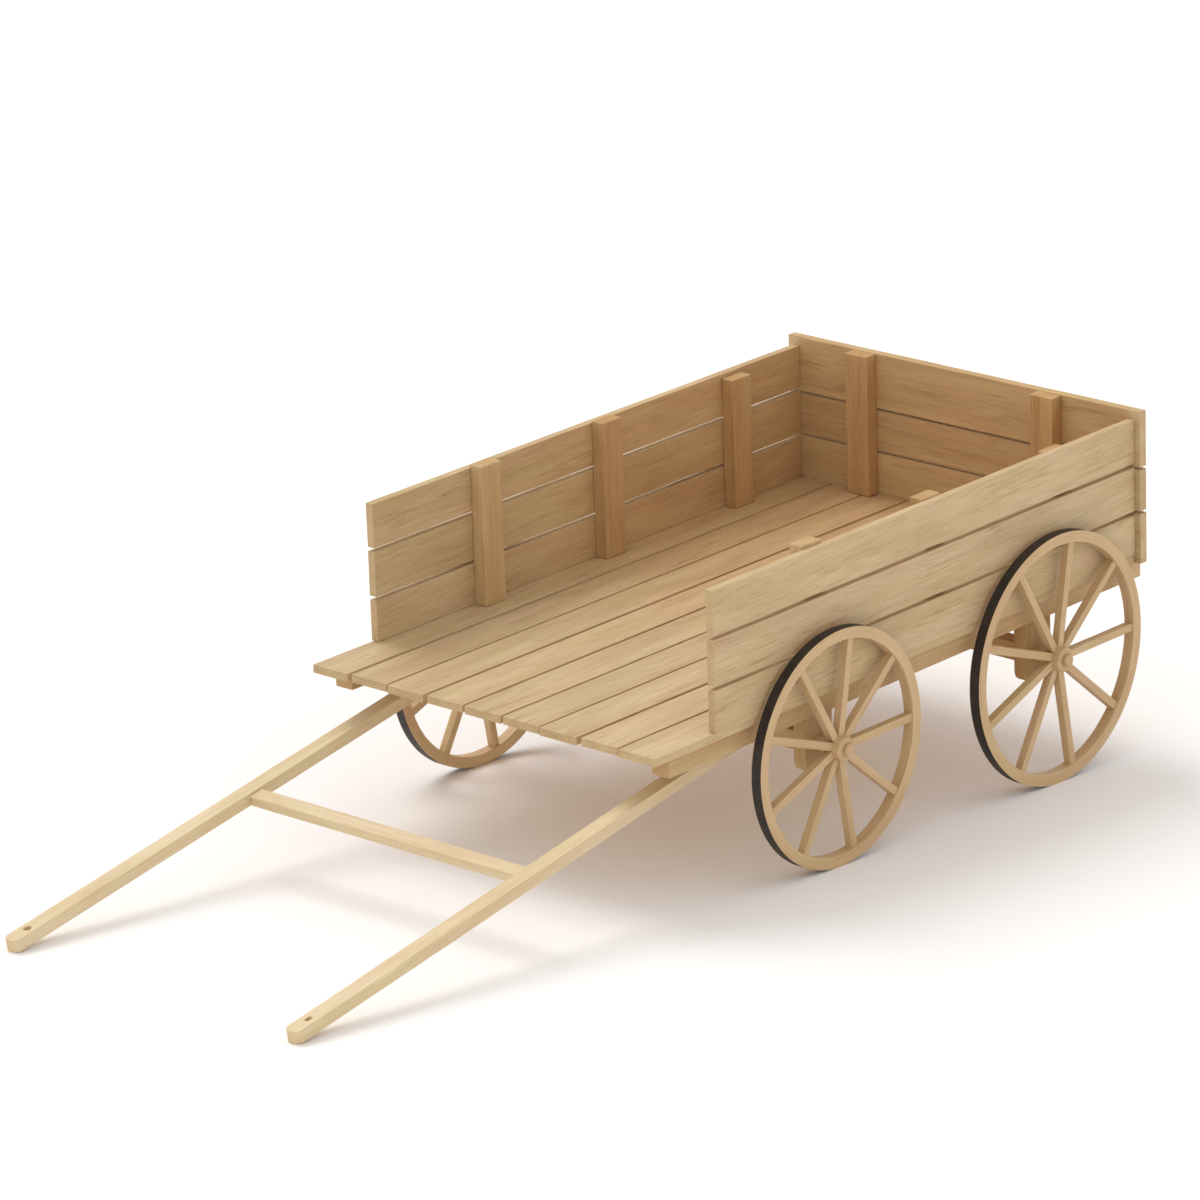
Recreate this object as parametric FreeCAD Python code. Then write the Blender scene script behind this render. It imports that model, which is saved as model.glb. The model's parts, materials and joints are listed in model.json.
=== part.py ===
"""A four-wheeled wooden garden cart with a pair of pulling shafts.

Millimetres, +Z up.  The cart faces -Y, its own left side is +X, and the ground is Z = 0.
The bed slopes down towards the front, because the front wheels are the smaller pair.
Every sub-part is written to parts/NODE.step.
"""
import FreeCAD, Part
import math
import os

V = FreeCAD.Vector
UP = V(0, 0, 1)
ACROSS = V(1, 0, 0)
SIDES = {"left": 1, "right": -1}
ENDS = ("front", "rear")

# --- Floor -----------------------------------------------------------------------------
BED_TILT = 2.83                 # degrees the bed falls towards the front
BED_HEIGHT = 375.7              # top of the floor above the ground at its front edge
FLOOR_WIDTH = 1000.0
FLOOR_LENGTH = 1655.0
FLOOR_THICKNESS = 19.0
FLOOR_GAPS = (9.0, 6.0, 9.0, 8.0, 6.0, 5.0, 9.0, 6.0)           # between the boards, right to left
FLOOR_SETBACKS = (0.0, 4.0, 0.0, 5.0, 3.0, 4.0, 0.0, 5.0, 0.0)  # hand-laid front ends
BOARD_EASE = 1.2                # rounding on the long edges of sawn boards

# --- Side boards, tailboard and the posts inside them -------------------------------------
SIDE_OUTER_HALF = 503.5
SIDE_START = 194.0              # the sides leave the front of the floor open
SIDE_THICKNESS = 20.0
SIDE_HEIGHTS = (96.75, 105.0, 103.25)
SIDE_GAP = 8.5
TAIL_WIDTH = 1036.0
TAIL_THICKNESS = 23.5
TAIL_HEIGHTS = (119.5, 99.0, 132.5)
TAIL_GAP = 5.5
POST_WIDTH = 66.0
POST_DEPTH = 35.0
SIDE_POST_STATIONS = {"front": 512.0, "middle": 920.0, "rear": 1372.0}
SIDE_POST_HEIGHTS = {"front": 330.0, "middle": 326.0, "rear": 313.0}
TAIL_POST_CENTRES = {"left": 261.0, "right": -285.0}     # a little off the middle
TAIL_POST_HEIGHT = 342.0
POST_EASE = 2.0
ROW_NAMES = ("lower", "middle", "upper")

# --- Sills, bearers, axle hangers and axle beams ------------------------------------------
SILL_OUTER = 488.0
SILL_WIDTH = 50.0
SILL_DEPTH = 46.0
SILL_START = 58.5
SILL_END = 1695.0
SILL_EASE = 2.0
BEARER_STATIONS = (130.0, 660.0, 960.0, 1260.0, 1590.0)
BEARER_WIDTH = 45.0
BEARER_DEPTH = 40.0
BEARER_TONGUE = 8.0             # thin ends that pass over the shafts
BEARER_SHOULDER_HALF = 380.0
HANGER_OUTER = 478.0
HANGER_THICKNESS = 33.0
HANGER_LENGTH = 94.0
HANGER_BELOW_AXLE = 62.0
HANGER_CORNER = 25.0
AXLE_BEAM_SIZE = 45.0

# --- Axles and wheels ---------------------------------------------------------------------
AXLE_Y = {"front": 566.4, "rear": 1333.8}   # from the front edge of the floor
WHEEL_RADIUS = {"front": 270.6, "rear": 293.5}
AXLE_RADIUS = 9.0
AXLE_HALF_LENGTH = 562.0
BORE_CLEARANCE = 0.1            # radial
END_GAP = 0.5                   # between the turning nave and what is fixed beside it
WHEEL_INNER = 515.0
WHEEL_WIDTH = 28.0
TYRE_THICKNESS = 2.0            # the tyre is let in flush with the felloe
TYRE_LIP = 1.2                  # wood left either side of the tyre
FELLOE_DEPTH = 26.5
FELLOE_EASE = 1.5
NAVE_INNER = 505.0
NAVE_OUTER = 557.0
NAVE_RADIUS = 28.0
NAVE_CHAMFER = 3.0
SPOKE_COUNT = 9
SPOKE_PHASE = 2.5               # degrees from straight back to the first spoke
SPOKE_WIDTH = 19.0
SPOKE_DEPTH = 20.0
SPOKE_SHOULDER = 1.8            # how far the full section sinks into the nave
SPOKE_TENON = (12.0, 14.0)      # width and depth of the narrow end in the nave
SPOKE_EASE = 1.5
NAVE_SOCKET = 10.0
FELLOE_SOCKET = 8.0
SPACER_RADIUS = 18.0
CAP_RADIUS = 14.0
CAP_THICKNESS = 10.0
CAP_EASE = 2.0

# --- Pulling shafts -----------------------------------------------------------------------
SHAFT_OFFSET = 410.0
SHAFT_WIDTH = 40.0
SHAFT_THICKNESS = 29.0
SHAFT_LENGTH = 1662.0           # from the pivot to the tip
PIVOT_STATION = 609.0
TIP_CHAMFER = 10.0
TIP_HOLE_RADIUS = 9.0
TIP_HOLE_FROM_END = 56.0
CROSS_BAR_FROM_TIP = 738.0
CROSS_BAR_WIDTH = 41.0
CROSS_BAR_THICKNESS = 24.0
CROSS_BAR_TENON = (25.0, 12.0, 15.0)    # width, thickness, length
PIVOT_RADIUS = 6.0
PIVOT_HEAD_RADIUS = 12.0
PIVOT_HEAD_THICKNESS = 7.0
PIVOT_SCREW_END = 475.0         # the screw stops inside the sill
PIVOT_WASHER_RADIUS = 14.0

TILT = math.radians(BED_TILT)


def bed_point(station, height):
    """World Y and Z of a point on the bed: station runs back from the floor's front edge."""
    y = station * math.cos(TILT) - height * math.sin(TILT)
    z = BED_HEIGHT + station * math.sin(TILT) + height * math.cos(TILT)
    return y, z


SILL_BOTTOM = -FLOOR_THICKNESS - SILL_DEPTH
PIVOT_DEPTH = -FLOOR_THICKNESS - SILL_DEPTH / 2
PIVOT_Y, PIVOT_Z = bed_point(PIVOT_STATION, PIVOT_DEPTH)
HALF_SHAFT = SHAFT_THICKNESS / 2
# The shafts hang until the lower edge of each tip touches the ground.
SHAFT_ANGLE = (math.asin(PIVOT_Z / math.hypot(SHAFT_LENGTH, HALF_SHAFT))
               - math.atan2(HALF_SHAFT, SHAFT_LENGTH))
FRONT_Y = PIVOT_Y - SHAFT_LENGTH * math.cos(SHAFT_ANGLE) - HALF_SHAFT * math.sin(SHAFT_ANGLE)
REAR_Y = bed_point(SILL_END, SILL_BOTTOM)[0]
CENTRE_Y = (FRONT_Y + REAR_Y) / 2   # the origin lies on the ground under the middle of the box


# --- Shape helpers ------------------------------------------------------------------------
def block(x, y, z):
    """A rectangular block between three pairs of limits."""
    return Part.makeBox(x[1] - x[0], y[1] - y[0], z[1] - z[0], V(x[0], y[0], z[0]))


def eased(shape, radius):
    """The shape with all its edges rounded."""
    return shape.makeFillet(radius, shape.Edges)


def rod(x_start, x_end, y, z, radius):
    """A round bar that lies across the cart."""
    return Part.makeCylinder(radius, x_end - x_start, V(x_start, y, z), ACROSS)


def on_bed(shape):
    """Tilt a piece that was drawn on a level bed at height zero."""
    placed = shape.copy()
    placed.rotate(V(0, 0, 0), ACROSS, BED_TILT)
    placed.translate(V(0, 0, BED_HEIGHT))
    return placed


def on_shafts(shape):
    """Swing a piece drawn about the pivot, pointing level to the front, down to its rest."""
    placed = shape.copy()
    placed.rotate(V(0, 0, 0), ACROSS, math.degrees(SHAFT_ANGLE))
    placed.translate(V(0, PIVOT_Y, PIVOT_Z))
    return placed


def mirrored(x_limits, side):
    """Limits across the cart, on the left (+1) or the right (-1)."""
    return tuple(sorted(side * x for x in x_limits))


def write(name, *solids):
    """Centre the piece on the origin and save it as one sub-part."""
    shape = solids[0] if len(solids) == 1 else Part.makeCompound(list(solids))
    shape = shape.copy()
    shape.translate(V(0, -CENTRE_Y, 0))
    if not shape.isValid():
        raise ValueError(name + " is not a valid shape")
    shape.exportStep("parts/" + name + ".step")
    print(name, len(shape.Solids), round(shape.Volume / 1000.0, 1), "cm3")


def stacked(heights, gap, base):
    """Pairs of lower and upper limits for boards stacked with a gap between them."""
    limits = []
    for height in heights:
        limits.append((base, base + height))
        base += height + gap
    return limits


# --- Floor, sides and tail ----------------------------------------------------------------
def floor():
    """Nine boards that run lengthwise, with slightly uneven gaps and front ends."""
    board_width = (FLOOR_WIDTH - sum(FLOOR_GAPS)) / len(FLOOR_SETBACKS)
    x = -FLOOR_WIDTH / 2
    for number, setback in enumerate(FLOOR_SETBACKS, 1):
        board = block((x, x + board_width), (setback, FLOOR_LENGTH), (-FLOOR_THICKNESS, 0))
        write("floor_board_%d" % number, on_bed(eased(board, BOARD_EASE)))
        if number <= len(FLOOR_GAPS):
            x += board_width + FLOOR_GAPS[number - 1]


def sides():
    """Three boards a side, stood on the floor, with three posts inside each side."""
    rows = stacked(SIDE_HEIGHTS, SIDE_GAP, 0)
    inner = SIDE_OUTER_HALF - SIDE_THICKNESS
    for side, sign in SIDES.items():
        across = mirrored((inner, SIDE_OUTER_HALF), sign)
        for row, limits in zip(ROW_NAMES, rows):
            board = block(across, (SIDE_START, FLOOR_LENGTH), limits)
            write("%s_side_%s_board" % (side, row), on_bed(eased(board, BOARD_EASE)))
        across = mirrored((inner - POST_DEPTH, inner), sign)
        for place, station in SIDE_POST_STATIONS.items():
            along = (station, station + POST_WIDTH)
            post = block(across, along, (0, SIDE_POST_HEIGHTS[place]))
            write("%s_side_%s_post" % (side, place), on_bed(eased(post, POST_EASE)))


def tail():
    """Three boards across the rear ends of the floor and sides, with two posts inside."""
    half = TAIL_WIDTH / 2
    along = (FLOOR_LENGTH, FLOOR_LENGTH + TAIL_THICKNESS)
    rows = stacked(TAIL_HEIGHTS, TAIL_GAP, -FLOOR_THICKNESS)
    for row, limits in zip(ROW_NAMES, rows):
        board = block((-half, half), along, limits)
        write("tail_%s_board" % row, on_bed(eased(board, BOARD_EASE)))
    for side, centre in TAIL_POST_CENTRES.items():
        across = (centre - POST_WIDTH / 2, centre + POST_WIDTH / 2)
        post = block(across, (FLOOR_LENGTH - POST_DEPTH, FLOOR_LENGTH), (0, TAIL_POST_HEIGHT))
        write("tail_%s_post" % side, on_bed(eased(post, POST_EASE)))


# --- Underframe ---------------------------------------------------------------------------
def sills():
    """The two long timbers under the floor, each drilled blind for a pivot screw."""
    inner = SILL_OUTER - SILL_WIDTH
    for side, sign in SIDES.items():
        across = mirrored((inner, SILL_OUTER), sign)
        sill = block(across, (SILL_START, SILL_END), (SILL_BOTTOM, -FLOOR_THICKNESS))
        sill = on_bed(eased(sill, SILL_EASE))
        hole = mirrored((inner - 1, PIVOT_SCREW_END), sign)
        sill = sill.cut(rod(hole[0], hole[1], PIVOT_Y, PIVOT_Z, PIVOT_RADIUS + BORE_CLEARANCE))
        write(side + "_sill", sill)


def bearers():
    """Cross timbers under the floor, thinned at both ends where the shafts pass below."""
    inner = SILL_OUTER - SILL_WIDTH
    timbers = []
    for station in BEARER_STATIONS:
        along = (station - BEARER_WIDTH / 2, station + BEARER_WIDTH / 2)
        tongue = block((-inner, inner), along,
                       (-FLOOR_THICKNESS - BEARER_TONGUE, -FLOOR_THICKNESS))
        body = block((-BEARER_SHOULDER_HALF, BEARER_SHOULDER_HALF), along,
                     (-FLOOR_THICKNESS - BEARER_DEPTH, -FLOOR_THICKNESS))
        timbers.append(on_bed(tongue.fuse(body).removeSplitter()))
    write("floor_bearers", *timbers)


def axle_level(end):
    """Station and height, in the bed's own frame, of an axle that carries its wheels."""
    y = AXLE_Y[end]
    z = WHEEL_RADIUS[end] - BED_HEIGHT
    station = y * math.cos(TILT) + z * math.sin(TILT)
    height = z * math.cos(TILT) - y * math.sin(TILT)
    return station, height


def hanger(end, sign):
    """A block under the sill with two rounded lower corners, bored for the axle."""
    station, height = axle_level(end)
    across = mirrored((HANGER_OUTER - HANGER_THICKNESS, HANGER_OUTER), sign)
    along = (station - HANGER_LENGTH / 2, station + HANGER_LENGTH / 2)
    bottom = height - HANGER_BELOW_AXLE
    shape = block(across, along, (bottom, SILL_BOTTOM))
    corners = [edge for edge in shape.Edges
               if edge.BoundBox.XLength > HANGER_THICKNESS / 2 and edge.BoundBox.ZMax < bottom + 1]
    return shape.makeFillet(HANGER_CORNER, corners)


def axles():
    """For each end: a beam between two hangers, and an iron rod right through all three."""
    half_beam = AXLE_BEAM_SIZE / 2
    beam_half_length = HANGER_OUTER - HANGER_THICKNESS
    for end in ENDS:
        y = AXLE_Y[end]
        z = WHEEL_RADIUS[end]
        station, height = axle_level(end)
        bore = rod(-AXLE_HALF_LENGTH, AXLE_HALF_LENGTH, y, z, AXLE_RADIUS + BORE_CLEARANCE)
        beam = block((-beam_half_length, beam_half_length),
                     (station - half_beam, station + half_beam),
                     (height - half_beam, height + half_beam))
        write(end + "_axle_beam", on_bed(eased(beam, BOARD_EASE)).cut(bore))
        write(end + "_axle_rod", rod(-AXLE_HALF_LENGTH, AXLE_HALF_LENGTH, y, z, AXLE_RADIUS))
        for side, sign in SIDES.items():
            write("%s_%s_axle_hanger" % (end, side), on_bed(hanger(end, sign)).cut(bore))


def axle_end_fittings():
    """The spacer collar inside each wheel and the turned cap outside it."""
    spacers = []
    caps = []
    bore_radius = AXLE_RADIUS + BORE_CLEARANCE
    cap_start = NAVE_OUTER + END_GAP
    for end in ENDS:
        y = AXLE_Y[end]
        z = WHEEL_RADIUS[end]
        for sign in SIDES.values():
            reach = mirrored((HANGER_OUTER, NAVE_INNER - END_GAP), sign)
            hole = mirrored((HANGER_OUTER - 1, NAVE_INNER), sign)
            collar = rod(reach[0], reach[1], y, z, SPACER_RADIUS)
            spacers.append(collar.cut(rod(hole[0], hole[1], y, z, bore_radius)))
            reach = mirrored((cap_start, cap_start + CAP_THICKNESS), sign)
            cap = rod(reach[0], reach[1], y, z, CAP_RADIUS)
            rims = [edge for edge in cap.Edges
                    if edge.BoundBox.XLength < 1 and abs(edge.BoundBox.XMin) > cap_start + 1]
            cap = cap.makeFillet(CAP_EASE, rims)
            hole = mirrored((cap_start - 1, AXLE_HALF_LENGTH + BORE_CLEARANCE), sign)
            caps.append(cap.cut(rod(hole[0], hole[1], y, z, bore_radius)))
    write("axle_spacers", *spacers)
    write("axle_caps", *caps)


# --- Wheels -------------------------------------------------------------------------------
def ring(x_start, x_end, y, z, outer, inner):
    """A flat ring in an upright plane across the cart's width."""
    return rod(x_start, x_end, y, z, outer).cut(rod(x_start, x_end, y, z, inner))


def spoke_set(side, y, z, outer_end):
    """Rectangular spokes, centred in the rim's width, each with a tenon for the nave."""
    middle = WHEEL_INNER + WHEEL_WIDTH / 2
    tenon_width, tenon_depth = SPOKE_TENON
    across = mirrored((middle - SPOKE_DEPTH / 2, middle + SPOKE_DEPTH / 2), side)
    tenon_across = mirrored((middle - tenon_depth / 2, middle + tenon_depth / 2), side)
    shoulder = NAVE_RADIUS - SPOKE_SHOULDER
    tenon_end = NAVE_RADIUS - NAVE_SOCKET
    spokes = []
    for number in range(SPOKE_COUNT):
        bar = block(across, (shoulder, outer_end), (-SPOKE_WIDTH / 2, SPOKE_WIDTH / 2))
        bar = bar.makeChamfer(SPOKE_EASE, [edge for edge in bar.Edges
                                           if edge.BoundBox.YLength > SPOKE_WIDTH * 2])
        tenon = block(tenon_across, (tenon_end, shoulder + 1), (-tenon_width / 2, tenon_width / 2))
        bar = bar.fuse(tenon).removeSplitter()
        bar.rotate(V(0, 0, 0), ACROSS, SPOKE_PHASE + number * 360.0 / SPOKE_COUNT)
        bar.translate(V(0, y, z))
        spokes.append(bar)
    return spokes


def nave(side, y, z):
    """The turned hub: a short drum with chamfered rims, bored to run on the axle rod."""
    across = mirrored((NAVE_INNER, NAVE_OUTER), side)
    drum = rod(across[0], across[1], y, z, NAVE_RADIUS)
    rims = [edge for edge in drum.Edges if edge.BoundBox.XLength < 1]
    drum = drum.makeChamfer(NAVE_CHAMFER, rims)
    return drum.cut(rod(across[0], across[1], y, z, AXLE_RADIUS + BORE_CLEARANCE))


def wheel(end, side, sign):
    """Nave, nine spokes let into nave and felloe, the bent felloe and the tyre let into it."""
    y = AXLE_Y[end]
    z = WHEEL_RADIUS[end]
    felloe_outer = WHEEL_RADIUS[end]
    felloe_inner = felloe_outer - FELLOE_DEPTH
    tyre_inner = felloe_outer - TYRE_THICKNESS
    across = mirrored((WHEEL_INNER, WHEEL_INNER + WHEEL_WIDTH), sign)
    tyre_across = mirrored((WHEEL_INNER + TYRE_LIP, WHEEL_INNER + WHEEL_WIDTH - TYRE_LIP), sign)
    name = "%s_%s_wheel_" % (end, side)
    spokes = spoke_set(sign, y, z, felloe_inner + FELLOE_SOCKET)
    felloe = ring(across[0], across[1], y, z, felloe_outer, felloe_inner)
    inner_rims = [edge for edge in felloe.Edges
                  if edge.BoundBox.XLength < 1 and edge.BoundBox.YLength < felloe_outer * 2 - 1]
    felloe = felloe.makeFillet(FELLOE_EASE, inner_rims)
    tyre = ring(tyre_across[0], tyre_across[1], y, z, felloe_outer, tyre_inner)
    sockets = Part.makeCompound(spokes)
    write(name + "nave", nave(sign, y, z).cut(sockets))
    write(name + "spokes", *spokes)
    write(name + "felloe", felloe.cut(tyre).cut(sockets))
    write(name + "tyre", tyre)


# --- Shafts -------------------------------------------------------------------------------
def cross_bar():
    """The bar between the shafts, flush with their undersides, tenoned into both."""
    half = SHAFT_OFFSET - SHAFT_WIDTH / 2
    middle = CROSS_BAR_FROM_TIP - SHAFT_LENGTH
    tenon_width, tenon_thickness, tenon_length = CROSS_BAR_TENON
    centre = -HALF_SHAFT + CROSS_BAR_THICKNESS / 2
    bar = block((-half, half),
                (middle - CROSS_BAR_WIDTH / 2, middle + CROSS_BAR_WIDTH / 2),
                (centre - CROSS_BAR_THICKNESS / 2, centre + CROSS_BAR_THICKNESS / 2))
    long_edges = [edge for edge in bar.Edges if edge.BoundBox.XLength > half]
    bar = bar.makeFillet(POST_EASE, long_edges)
    tenon = block((-half - tenon_length, half + tenon_length),
                  (middle - tenon_width / 2, middle + tenon_width / 2),
                  (centre - tenon_thickness / 2, centre + tenon_thickness / 2))
    return bar.fuse(tenon).removeSplitter()


def shaft(sign):
    """A straight bar: rounded at the pivot, chamfered and drilled at the tip."""
    across = mirrored((SHAFT_OFFSET - SHAFT_WIDTH / 2, SHAFT_OFFSET + SHAFT_WIDTH / 2), sign)
    bar = block(across, (-SHAFT_LENGTH, 0), (-HALF_SHAFT, HALF_SHAFT))
    tip_edges = [edge for edge in bar.Edges
                 if edge.BoundBox.YMax < 1 - SHAFT_LENGTH and edge.BoundBox.ZLength > HALF_SHAFT]
    bar = bar.makeChamfer(TIP_CHAMFER, tip_edges)
    bar = bar.fuse(rod(across[0], across[1], 0, 0, HALF_SHAFT)).removeSplitter()
    hole_y = TIP_HOLE_FROM_END - SHAFT_LENGTH
    bar = bar.cut(Part.makeCylinder(TIP_HOLE_RADIUS, SHAFT_THICKNESS * 2,
                                    V(sign * SHAFT_OFFSET, hole_y, -SHAFT_THICKNESS), UP))
    return bar.cut(rod(across[0], across[1], 0, 0, PIVOT_RADIUS + BORE_CLEARANCE))


def shafts():
    """Both shafts and the bar that ties them together."""
    bar = cross_bar()
    for side, sign in SIDES.items():
        write(side + "_shaft", on_shafts(shaft(sign).cut(bar)))
    write("shaft_cross_bar", on_shafts(bar))


def shaft_pivots():
    """A coach screw from inside through each shaft into the sill, and a washer between."""
    sill_inner = SILL_OUTER - SILL_WIDTH
    shaft_inner = SHAFT_OFFSET - SHAFT_WIDTH / 2
    shaft_outer = SHAFT_OFFSET + SHAFT_WIDTH / 2
    head_end = shaft_inner - END_GAP
    screws = []
    washers = []
    for sign in SIDES.values():
        shank = mirrored((head_end, PIVOT_SCREW_END), sign)
        head = mirrored((head_end - PIVOT_HEAD_THICKNESS, head_end), sign)
        screw = rod(shank[0], shank[1], PIVOT_Y, PIVOT_Z, PIVOT_RADIUS)
        screw = screw.fuse(rod(head[0], head[1], PIVOT_Y, PIVOT_Z, PIVOT_HEAD_RADIUS))
        screws.append(screw.removeSplitter())
        reach = mirrored((shaft_outer + END_GAP, sill_inner), sign)
        washers.append(ring(reach[0], reach[1], PIVOT_Y, PIVOT_Z, PIVOT_WASHER_RADIUS,
                            PIVOT_RADIUS + BORE_CLEARANCE))
    write("shaft_pivot_screws", *screws)
    write("shaft_pivot_washers", *washers)


def main():
    os.makedirs("parts", exist_ok=True)
    floor()
    sides()
    tail()
    sills()
    bearers()
    axles()
    axle_end_fittings()
    for end in ENDS:
        for side, sign in SIDES.items():
            wheel(end, side, sign)
    shafts()
    shaft_pivots()
    print("shaft angle", round(math.degrees(SHAFT_ANGLE), 3), "centre", round(CENTRE_Y, 3))
    print("pivot", round(PIVOT_Y - CENTRE_Y, 3), round(PIVOT_Z, 3))


main()
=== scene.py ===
"""The looks of a four-wheeled wooden garden cart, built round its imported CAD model.

Metres, +Z up.  The cart faces -Y, its own left side is +X, and the ground is Z = 0.
Every wooden part is worked as a real one is: sawn or planed timber with eased arrises that wander a
little, hand-cut ends, and grain that runs with its length, right through to its end grain.
"""
import json
import math
import zlib

import bpy
import numpy as np
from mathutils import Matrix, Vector


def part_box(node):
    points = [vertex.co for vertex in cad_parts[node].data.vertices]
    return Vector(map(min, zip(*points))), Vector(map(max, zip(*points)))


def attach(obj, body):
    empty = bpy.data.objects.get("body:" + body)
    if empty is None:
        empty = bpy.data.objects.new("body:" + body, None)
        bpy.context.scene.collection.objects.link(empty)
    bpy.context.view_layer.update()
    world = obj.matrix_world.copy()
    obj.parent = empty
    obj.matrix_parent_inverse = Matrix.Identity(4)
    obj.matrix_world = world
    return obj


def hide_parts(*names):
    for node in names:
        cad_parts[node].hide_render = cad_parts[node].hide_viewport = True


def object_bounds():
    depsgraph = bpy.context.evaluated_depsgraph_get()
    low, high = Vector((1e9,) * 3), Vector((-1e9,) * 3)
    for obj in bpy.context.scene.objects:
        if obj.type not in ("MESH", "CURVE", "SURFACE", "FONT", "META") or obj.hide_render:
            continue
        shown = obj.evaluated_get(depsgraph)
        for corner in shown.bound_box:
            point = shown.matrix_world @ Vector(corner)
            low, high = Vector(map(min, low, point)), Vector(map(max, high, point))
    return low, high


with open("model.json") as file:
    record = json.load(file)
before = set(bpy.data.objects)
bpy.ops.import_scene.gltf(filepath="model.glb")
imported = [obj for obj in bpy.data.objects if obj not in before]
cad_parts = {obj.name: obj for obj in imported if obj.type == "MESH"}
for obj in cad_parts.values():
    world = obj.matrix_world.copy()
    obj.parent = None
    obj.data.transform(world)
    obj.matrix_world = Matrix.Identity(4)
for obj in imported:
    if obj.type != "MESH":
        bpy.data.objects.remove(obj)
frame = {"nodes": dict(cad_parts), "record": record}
cad_low, cad_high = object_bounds()

MM = 0.001
RECORD = frame["record"]
JOINTS = {joint["name"]: joint for joint in RECORD["behaviour"]["joints"]}
MOUNTS = {mount["name"]: mount for mount in RECORD["mounts"]}
PIVOT = np.array(JOINTS["shafts_lift"]["pos_m"])    # the axis the shafts swing about
SIDES = {"left": 1, "right": -1}
ENDS = ("front", "rear")


# --- Where things are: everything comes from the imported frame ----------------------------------
def slope(mount):
    """How far a part tips forward about X: the angle of its mount's upward axis from plumb."""
    _, y, z = MOUNTS[mount]["axis"]
    return math.atan2(-y, z)


BED_SLOPE = slope("cargo_floor")
SHAFT_SLOPE = slope("left_shaft_hitch_hole")


def tipped_axes(angle):
    """Unit vectors across, along and up for a part tipped by angle t about X.

    across = (1, 0, 0), along = (0, cos t, sin t), up = (0, -sin t, cos t).
    """
    c, s = math.cos(angle), math.sin(angle)
    return np.array([[1, 0, 0], [0, c, s], [0, -s, c]], float)


def tipped_block(node, angle):
    """Centre and half sizes (across, along, up) of a block that is tipped by angle t.

    Its box is a cos t + b sin t long and a sin t + b cos t high, which gives a and b back.
    """
    low, high = (np.array(corner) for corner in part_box(node))
    wide, long, tall = high - low
    c, s = math.cos(angle), math.sin(angle)
    a = (long * c - tall * s) / (c * c - s * s)
    b = (tall * c - long * s) / (c * c - s * s)
    return (low + high) / 2, np.array([wide, a, b]) / 2


# --- Shapes: each is points, faces, and what the materials read at every point -------------------
LOG_METRES = (2, 40)        # where along the grain's length a piece may be cut from


def drift(distance, rng, amount, wave):
    """A hand's unevenness: amount * (1 + mean of three cosines of about that wave) / 2."""
    waves = wave * rng.uniform(0.35, 1.3, 3)
    phases = rng.uniform(0, 2 * math.pi, 3)
    cosines = np.cos(2 * math.pi * np.asarray(distance)[..., None] / waves + phases)
    return amount * (1 + cosines.mean(-1)) / 2


def steps(count, margin):
    """Positions from +1 to -1 with one close to each end, so that a flat face shades flat."""
    return np.linspace(1 - margin, margin - 1, max(count, 1) + 1)


def outline(across, through, arc=4):
    """A rounded rectangle, as rows of (core x, core y, normal x, normal y, wear).

    A point is core * (half size - ease) + ease * normal; the four corners are quarter circles,
    and wear is 1 half-way round a corner and 0 on the flats.
    """
    corners = np.array([(1, 1), (-1, 1), (-1, -1), (1, -1)], float)
    rows = []
    for index, positions in enumerate((across, through, across, through)):
        corner, following = corners[index], corners[(index + 1) % 4]
        share = np.arange(arc + 1) / arc
        turn = math.pi / 2 * (index + share)
        normal = np.stack([np.cos(turn), np.sin(turn)], -1)
        rounded = np.tile(corner, (arc + 1, 1))
        rows.append(np.column_stack([rounded, normal, np.sin(math.pi * share)]))
        core = corner + (1 - positions[:, None]) / 2 * (following - corner)
        flat = np.tile(normal[-1], (len(positions), 1))
        rows.append(np.column_stack([core, flat, np.zeros(len(positions))]))
    return np.concatenate(rows)


def strip_faces(rows, columns):
    """Quads of a grid whose columns close on themselves; point number = row * columns + column."""
    row = np.arange(rows - 1)[:, None]
    column = np.arange(columns)[None, :]
    here, beside = row * columns + column, row * columns + (column + 1) % columns
    return np.stack([here, beside, beside + columns, here + columns], -1).reshape(-1, 4)


def skin(rows, columns):
    """Quads, and triangles for the ends, of such a grid whose first and last rows are one point."""
    quads = strip_faces(rows - 2, columns) + columns
    first, last = np.arange(columns) + columns, np.arange(columns) + (rows - 2) * columns
    start = np.stack([np.zeros_like(first), np.roll(first, -1), first], -1)
    stop = np.stack([np.full_like(last, (rows - 1) * columns), last, np.roll(last, -1)], -1)
    return quads, np.concatenate([start, stop])


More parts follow.
